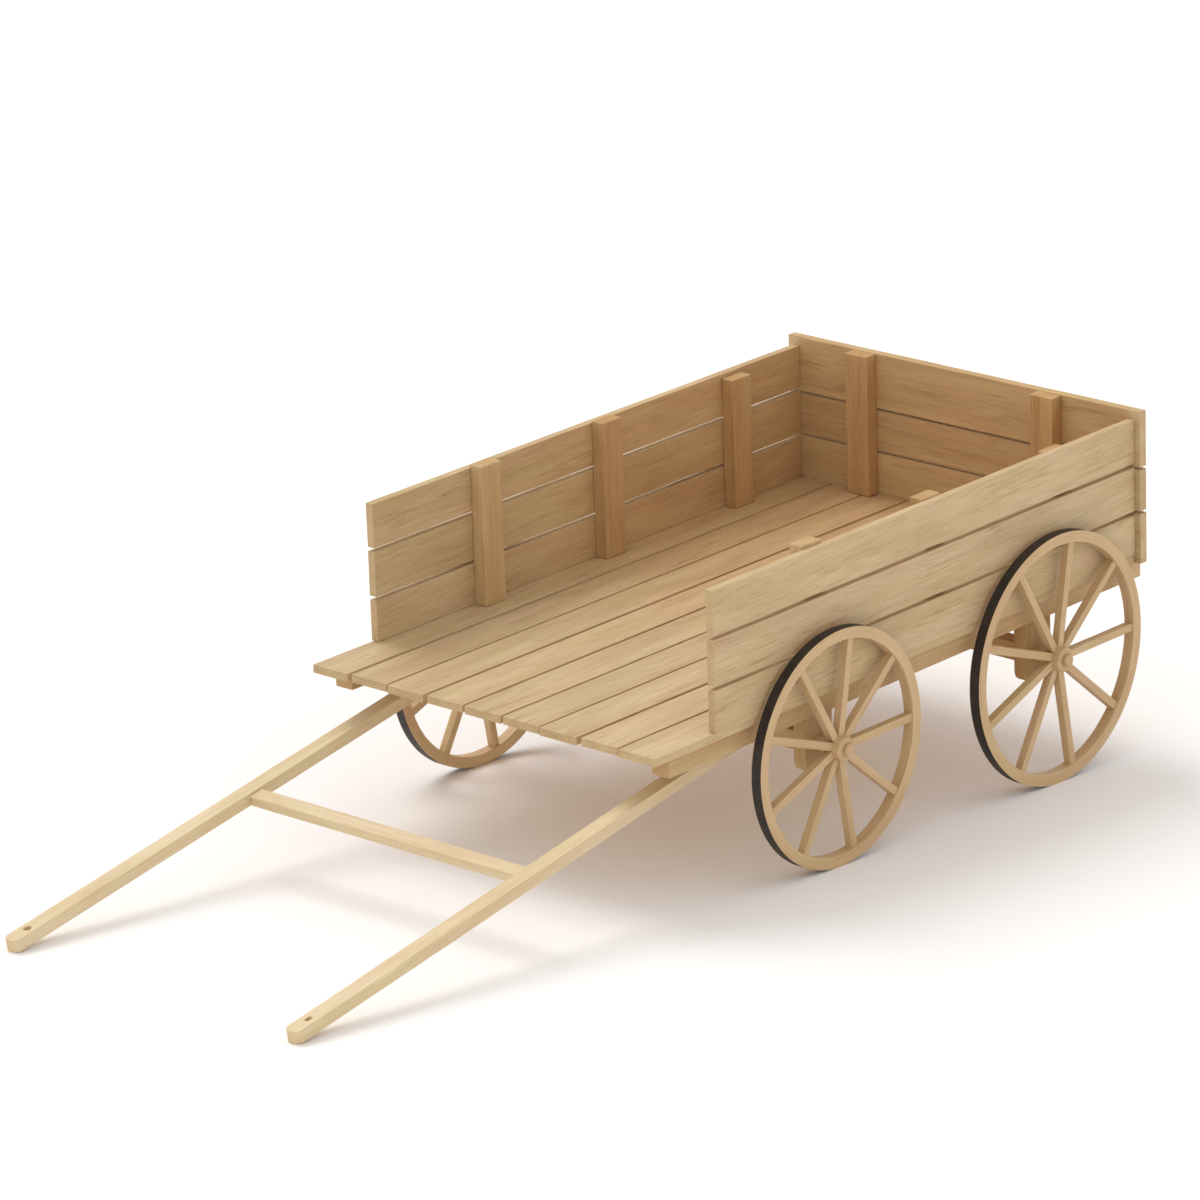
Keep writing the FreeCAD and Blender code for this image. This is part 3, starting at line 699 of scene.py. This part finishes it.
def rounded_disc(length, radius, ease):
    """Outline of a disc with both rims rounded."""
    near = arc(ease, radius - ease, ease, 180, 90)
    far = arc(length - ease, radius - ease, ease, 90, 0)
    flat = np.array([0.0, 0.5, 0.95]) * (radius - ease)
    start = np.stack([np.zeros(3), flat], -1)
    face = np.stack([np.full(3, length), flat[::-1]], -1)
    return np.concatenate([start, near, far, face])


SPOKE_COUNT = 9
SPOKE_PHASE = math.radians(2.5)
SPOKE_WIDTH, SPOKE_DEPTH = 19 * MM, 20 * MM
SPOKE_SHOULDER, FELLOE_SOCKET = 1.8 * MM, 8 * MM    # how far a spoke enters the nave and the felloe
FELLOE_DEPTH = 26.5 * MM
TYRE_THICKNESS = 2 * MM
TYRE_LIP = 1.2 * MM             # wood left either side of the tyre
COLLAR_RADIUS, CAP_RADIUS = 18 * MM, 14 * MM


def wheel(end, side):
    """A bent ash felloe with an iron tyre let into it, nine riven spokes and a turned nave."""
    name = "%s_%s_wheel" % (end, side)
    sign = SIDES[side]
    axis = np.array(JOINTS[name + "_spin"]["pos_m"])
    x0, x1 = (corner[0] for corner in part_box(name + "_felloe"))
    outer = axis[2] - 0.15 * MM         # it stands on the ground, so it is as high as its axle
    inner, bed = outer - FELLOE_DEPTH, outer - TYRE_THICKNESS

    rng = seeded(name + "_felloe")
    corners = [(x0, inner), (x1, inner), (x1, outer), (x1 - TYRE_LIP, outer), (x1 - TYRE_LIP, bed),
               (x0 + TYRE_LIP, bed), (x0 + TYRE_LIP, outer), (x0, outer)]
    eases = [2.0 * MM, 2.0 * MM, 0.4 * MM, 0.3 * MM, 0.1 * MM, 0.1 * MM, 0.3 * MM, 0.4 * MM]
    rim = hoop(axis, section(corners, eases), rng)
    piece(name + "_felloe_wood", name, [name + "_felloe"], TURNED_ASH, [rim], rng)
    rng = seeded(name + "_tyre")
    x0, x1 = x0 + TYRE_LIP + 0.05 * MM, x1 - TYRE_LIP - 0.05 * MM
    corners = [(x0, bed + 0.05 * MM), (x1, bed + 0.05 * MM), (x1, outer), (x0, outer)]
    band = hoop(axis, section(corners, [0.1 * MM, 0.1 * MM, 0.4 * MM, 0.4 * MM]), rng, wander=0.0)
    piece(name + "_tyre_iron", name, [name + "_tyre"], IRON_TYRE, [band], rng)

    rng = seeded(name + "_nave")
    low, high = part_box(name + "_nave")
    nave_radius = (high[2] - low[2]) / 2
    start = axis * (0, 1, 1) + (low[0] if sign > 0 else high[0], 0, 0)
    hub = turned(start, sign, nave_profile(high[0] - low[0], nave_radius), rng)
    piece(name + "_nave_wood", name, [name + "_nave"], TURNED_ASH, [hub], rng)

    rng = seeded(name + "_spokes")
    inner, outer = nave_radius - SPOKE_SHOULDER, inner + FELLOE_SOCKET
    sticks = []
    for number in range(SPOKE_COUNT):
        turn = SPOKE_PHASE + number * 2 * math.pi / SPOKE_COUNT
        axes = tipped_axes(turn)
        half = np.array([SPOKE_DEPTH, outer - inner, SPOKE_WIDTH]) / 2
        centre = axis + axes[ALONG] * (inner + outer) / 2
        sticks.append(timber(centre, half, axes, (UP, ACROSS, ALONG), rng, ease=1.6 * MM,
                             wander=0.5 * MM, cell=6 * MM, end_skew=0.0))
    piece(name + "_spokes_wood", name, [name + "_spokes"], TURNED_ASH, sticks, rng)


for end in ENDS:
    for side in SIDES:
        wheel(end, side)


CAP_GAP = 0.5 * MM              # between a turning nave and the fixed cap beside it


def axle_fittings():
    """A turned collar inside each wheel, and a round-edged cap on each end of the axle rods."""
    collar_rng, cap_rng = seeded("axle_spacers"), seeded("axle_caps")
    collars, caps = [], []
    collar_high, cap_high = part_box("axle_spacers")[1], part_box("axle_caps")[1]
    for end in ENDS:
        for side, sign in SIDES.items():
            name = "%s_%s_wheel" % (end, side)
            axis = np.array(JOINTS[name + "_spin"]["pos_m"])
            nave_low, nave_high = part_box(name + "_nave")
            hanger_low, hanger_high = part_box("%s_%s_axle_hanger" % (end, side))
            inner = hanger_high[0] if sign > 0 else -hanger_low[0]
            length = collar_high[0] - inner
            collars.append(turned(axis * (0, 1, 1) + (sign * inner, 0, 0), sign,
                                  rounded_disc(length, COLLAR_RADIUS, 1.5 * MM), collar_rng))
            outer = nave_high[0] if sign > 0 else -nave_low[0]
            length = cap_high[0] - outer - CAP_GAP
            caps.append(turned(axis * (0, 1, 1) + (sign * (outer + CAP_GAP), 0, 0), sign,
                               rounded_disc(length, CAP_RADIUS, 2.5 * MM), cap_rng))
    for node, shapes, rng in (("axle_spacers", collars, collar_rng), ("axle_caps", caps, cap_rng)):
        piece(node + "_wood", "chassis", [node], TURNED_ASH, shapes, rng)


axle_fittings()


# --- Shafts ---------------------------------------------------------------------------------------
SHAFT_AXES = tipped_axes(SHAFT_SLOPE)
TIP_CHAMFER = 10 * MM
HOLE_FROM_TIP, HOLE_RADIUS = 56 * MM, 9 * MM
HOLE_MOUTH = 0.9 * MM           # how wide its edge is softened
SHAFT_EASE = 1.8 * MM
SHAFT_CELLS = 130               # rings along the plain part of a shaft


def shaft(side):
    """A long straight bar: rounded at the pivot, its tip's corners cut off and a hole bored in it."""
    node = side + "_shaft"
    rng = seeded(node)
    low, high = (np.array(corner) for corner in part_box(node))
    thick = high[2] - PIVOT[2]
    length = (PIVOT[1] - low[1] - thick * math.sin(SHAFT_SLOPE)) / math.cos(SHAFT_SLOPE)
    pivot = np.array([(low[0] + high[0]) / 2, PIVOT[1], PIVOT[2]])
    half_length = (length + thick) / 2
    centre = pivot + SHAFT_AXES[ALONG] * (thick - half_length)

    def ends(l, w, t):
        """The tip's corners are cut at 45 degrees, and the pivot's end is a half circle."""
        from_tip = l + half_length
        to_end = np.clip(half_length - l, 0.3 * MM, thick)
        return (w - np.clip(TIP_CHAMFER - from_tip, 0, TIP_CHAMFER),
                np.sqrt(thick ** 2 - (thick - to_end) ** 2))

    # Rings along it: close round the chamfer's corner, a fine square round the hole, then plain.
    hole = HOLE_FROM_TIP - half_length
    reach, cells = 13 * MM, 10
    from_end = np.array([SHAFT_EASE, 5 * MM, TIP_CHAMFER - 0.6 * MM, TIP_CHAMFER,
                         TIP_CHAMFER + 0.6 * MM, 17 * MM, 25 * MM, 34 * MM])
    tip = from_end - half_length
    drilled = np.linspace(hole - reach, hole + reach, cells + 1)
    plain = np.linspace(hole + reach, half_length - thick, SHAFT_CELLS)[1:]
    curve = half_length - thick + thick * np.sin(np.radians(np.arange(10, 76, 8)))
    stations = np.concatenate([tip, drilled, plain, curve])
    half = np.array([(high[0] - low[0]) / 2, half_length, thick])
    width = half[0] - SHAFT_EASE
    window = np.linspace(reach, -reach, cells + 1) / width
    margin = 1 - 1.2 * MM / width
    across = np.concatenate([[margin, 0.87], window, [-0.87, -margin]])
    stick = timber(centre, half, SHAFT_AXES, (ACROSS, UP, ALONG), rng, ease=SHAFT_EASE, wander=0.0,
                   shape=ends, stations=stations, across=across, end_skew=0.0)
    drill(stick, pivot + SHAFT_AXES[ALONG] * (HOLE_FROM_TIP - length), SHAFT_AXES, HOLE_RADIUS, reach)
    piece(node + "_wood", "shafts", [node], PLANED_SPRUCE, [stick], rng)


def drill(stick, centre, axes, radius, reach):
    """Bores a round hole up through a stick's two wide faces, with a softened mouth.

    The faces inside the square round the hole are taken out of both sides.  Each point on the
    square's edge leads by rings to its own angle a on the circle, centre + r * (cos a, sin a), and
    from there down the wall to the other side.
    """
    local = (stick["points"] - centre) @ axes.T
    slack = 0.02 * MM
    inside = (np.abs(local[:, 0]) < reach + slack) & (np.abs(local[:, 1]) < reach + slack)
    gone = inside[stick["quads"]].all(1)
    edge = inside & ((np.abs(local[:, 0]) > reach - slack) | (np.abs(local[:, 1]) > reach - slack))
    heights = [local[inside & (local[:, 2] > 0), 2].mean(), local[inside & (local[:, 2] < 0), 2].mean()]
    loops = []
    for sign in (1, -1):
        loop = np.flatnonzero(edge & (local[:, 2] * sign > 0))
        loops.append(loop[np.argsort(np.arctan2(local[loop, 1], local[loop, 0]))])
    count = len(loops[0])
    angle = np.arctan2(local[loops[0], 1], local[loops[0], 0])
    mouth = HOLE_MOUTH
    lip = ((mouth + 0.7 * MM, 0.0), (mouth, 0.0), (0.3 * mouth, 0.25 * mouth), (0.0, mouth))
    walls = np.linspace(heights[0] - mouth, heights[1] + mouth, 6)[1:-1]
    rings = [(radius + out, heights[0] - sink) for out, sink in lip]
    rings += [(radius, height) for height in walls]
    rings += [(radius + out, heights[1] + sink) for out, sink in reversed(lip)]
    added = np.concatenate([np.stack([r * np.cos(angle), r * np.sin(angle), np.full(count, z)], -1)
                            for r, z in rings])
    total = len(stick["points"])
    between = [total + np.arange(count) + count * i for i in range(len(rings))]
    order = [loops[0]] + between + [loops[1]]
    quads = [np.stack([a, b, np.roll(b, -1), np.roll(a, -1)], -1) for a, b in zip(order, order[1:])]
    shift = stick["grain"][loops[0][0]] - local[loops[0][0]][[0, 2, 1]]
    stick["points"] = np.concatenate([stick["points"], centre + added @ axes])
    stick["quads"] = np.concatenate([stick["quads"][~gone]] + quads)
    stick["grain"] = np.concatenate([stick["grain"], added[:, [0, 2, 1]] + shift])
    for label, value in (("end", 0.0), ("wear", 0.0), ("rough", 1.0)):
        stick[label] = np.concatenate([stick[label], np.full(len(added), value)])


for side in SIDES:
    shaft(side)


def cross_bar():
    """The bar between the shafts: planed, eased, its ends let a little way into both."""
    node = "shaft_cross_bar"
    rng = seeded(node)
    centre, half = tipped_block(node, SHAFT_SLOPE)
    half[0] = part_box("left_shaft")[0][0] + 2 * MM
    bar = timber(centre, half, SHAFT_AXES, (ALONG, UP, ACROSS), rng, ease=2.0 * MM, wander=0.5 * MM,
                 end_skew=0.0)
    piece(node + "_wood", "shafts", [node], PLANED_SPRUCE, [bar], rng)


cross_bar()

# The steel rods, screws and washers keep their CAD shapes, which are already those of bar stock.
for node in ("front_axle_rod", "rear_axle_rod", "shaft_pivot_screws", "shaft_pivot_washers"):
    mesh = frame["nodes"][node].data
    mesh.materials.clear()
    mesh.materials.append(PLAIN_STEEL)


# --- Studio ---------------------------------------------------------------------------------------
FLOOR_REACH = 90.0                      # metres, far past the edge of the view
SURROUND_STRENGTH = 0.88
SOFTBOX_STRENGTH, SOFTBOX_ANGLE = 1.15, 34
TOWARDS_SOFTBOX = (-0.53, 0.04, 0.85)
PANEL_WATTS = 0.45
PANEL_WIDTH, PANEL_LENGTH, PANEL_HEIGHT = 0.8, 1.3, 0.30
PANEL_FORWARD = 0.42                    # ahead of half-way from the pivot to the tailboard
LENS_MM, SENSOR_MM = 209.37, 36
CAMERA_PLACE = (9.68718, -10.84445, 4.98461)
CAMERA_LOOKS = (-0.635582, 0.714756, -0.291822)


def studio():
    """A white floor, a white surround, a large soft lamp high on the right and a dim panel below."""
    reach = FLOOR_REACH
    mesh = bpy.data.meshes.new("studio_floor")
    mesh.from_pydata([(-reach, -reach, 0), (reach, -reach, 0), (reach, reach, 0), (-reach, reach, 0)],
                     [], [(0, 1, 2, 3)])
    material, tree, shader = new_material("matt_white_paper")
    shader.inputs["Base Color"].default_value = linear("#F8F5F3")
    shader.inputs["Roughness"].default_value = 0.9
    shader.inputs["Specular IOR Level"].default_value = 0.0
    mesh.materials.append(material)
    floor = bpy.data.objects.new("studio_floor", mesh)
    bpy.context.scene.collection.objects.link(floor)

    world = bpy.data.worlds.new("white_surround")
    world.use_nodes = True
    background = world.node_tree.nodes["Background"]
    background.inputs["Color"].default_value = (1, 1, 1, 1)
    background.inputs["Strength"].default_value = SURROUND_STRENGTH
    bpy.context.scene.world = world

    lamp = bpy.data.lights.new("softbox", "SUN")
    lamp.energy = SOFTBOX_STRENGTH
    lamp.angle = math.radians(SOFTBOX_ANGLE)
    holder = bpy.data.objects.new("softbox", lamp)
    holder.rotation_euler = Vector(TOWARDS_SOFTBOX).to_track_quat("Z", "Y").to_euler()
    bpy.context.scene.collection.objects.link(holder)

    # The white paper and the bare boards hand light to and fro under the bed: more of it, and
    # warmer, than a few bounces give, so a wide dim panel below the boards makes up the rest.
    lamp = bpy.data.lights.new("under_bed_bounce", "AREA")
    lamp.shape = "RECTANGLE"
    lamp.size, lamp.size_y = PANEL_WIDTH, PANEL_LENGTH
    lamp.energy = PANEL_WATTS
    lamp.color = (1.0, 0.76, 0.54)
    panel = bpy.data.objects.new("under_bed_bounce", lamp)
    panel.location = (0, (cad_high[1] + PIVOT[1]) / 2 - PANEL_FORWARD, PANEL_HEIGHT)
    panel.visible_camera = False
    panel.visible_glossy = False
    bpy.context.scene.collection.objects.link(panel)
    bpy.context.scene.view_settings.view_transform = "Standard"


def camera():
    """The main view: a long lens from the front left, looking down about seventeen degrees."""
    data = bpy.data.cameras.new("main_camera")
    data.lens = LENS_MM
    data.sensor_width = SENSOR_MM
    data.clip_end = 300
    holder = bpy.data.objects.new("main_camera", data)
    holder.location = CAMERA_PLACE
    holder.rotation_euler = Vector(CAMERA_LOOKS).to_track_quat("-Z", "Y").to_euler()
    bpy.context.scene.collection.objects.link(holder)
    bpy.context.scene.camera = holder


studio()
camera()
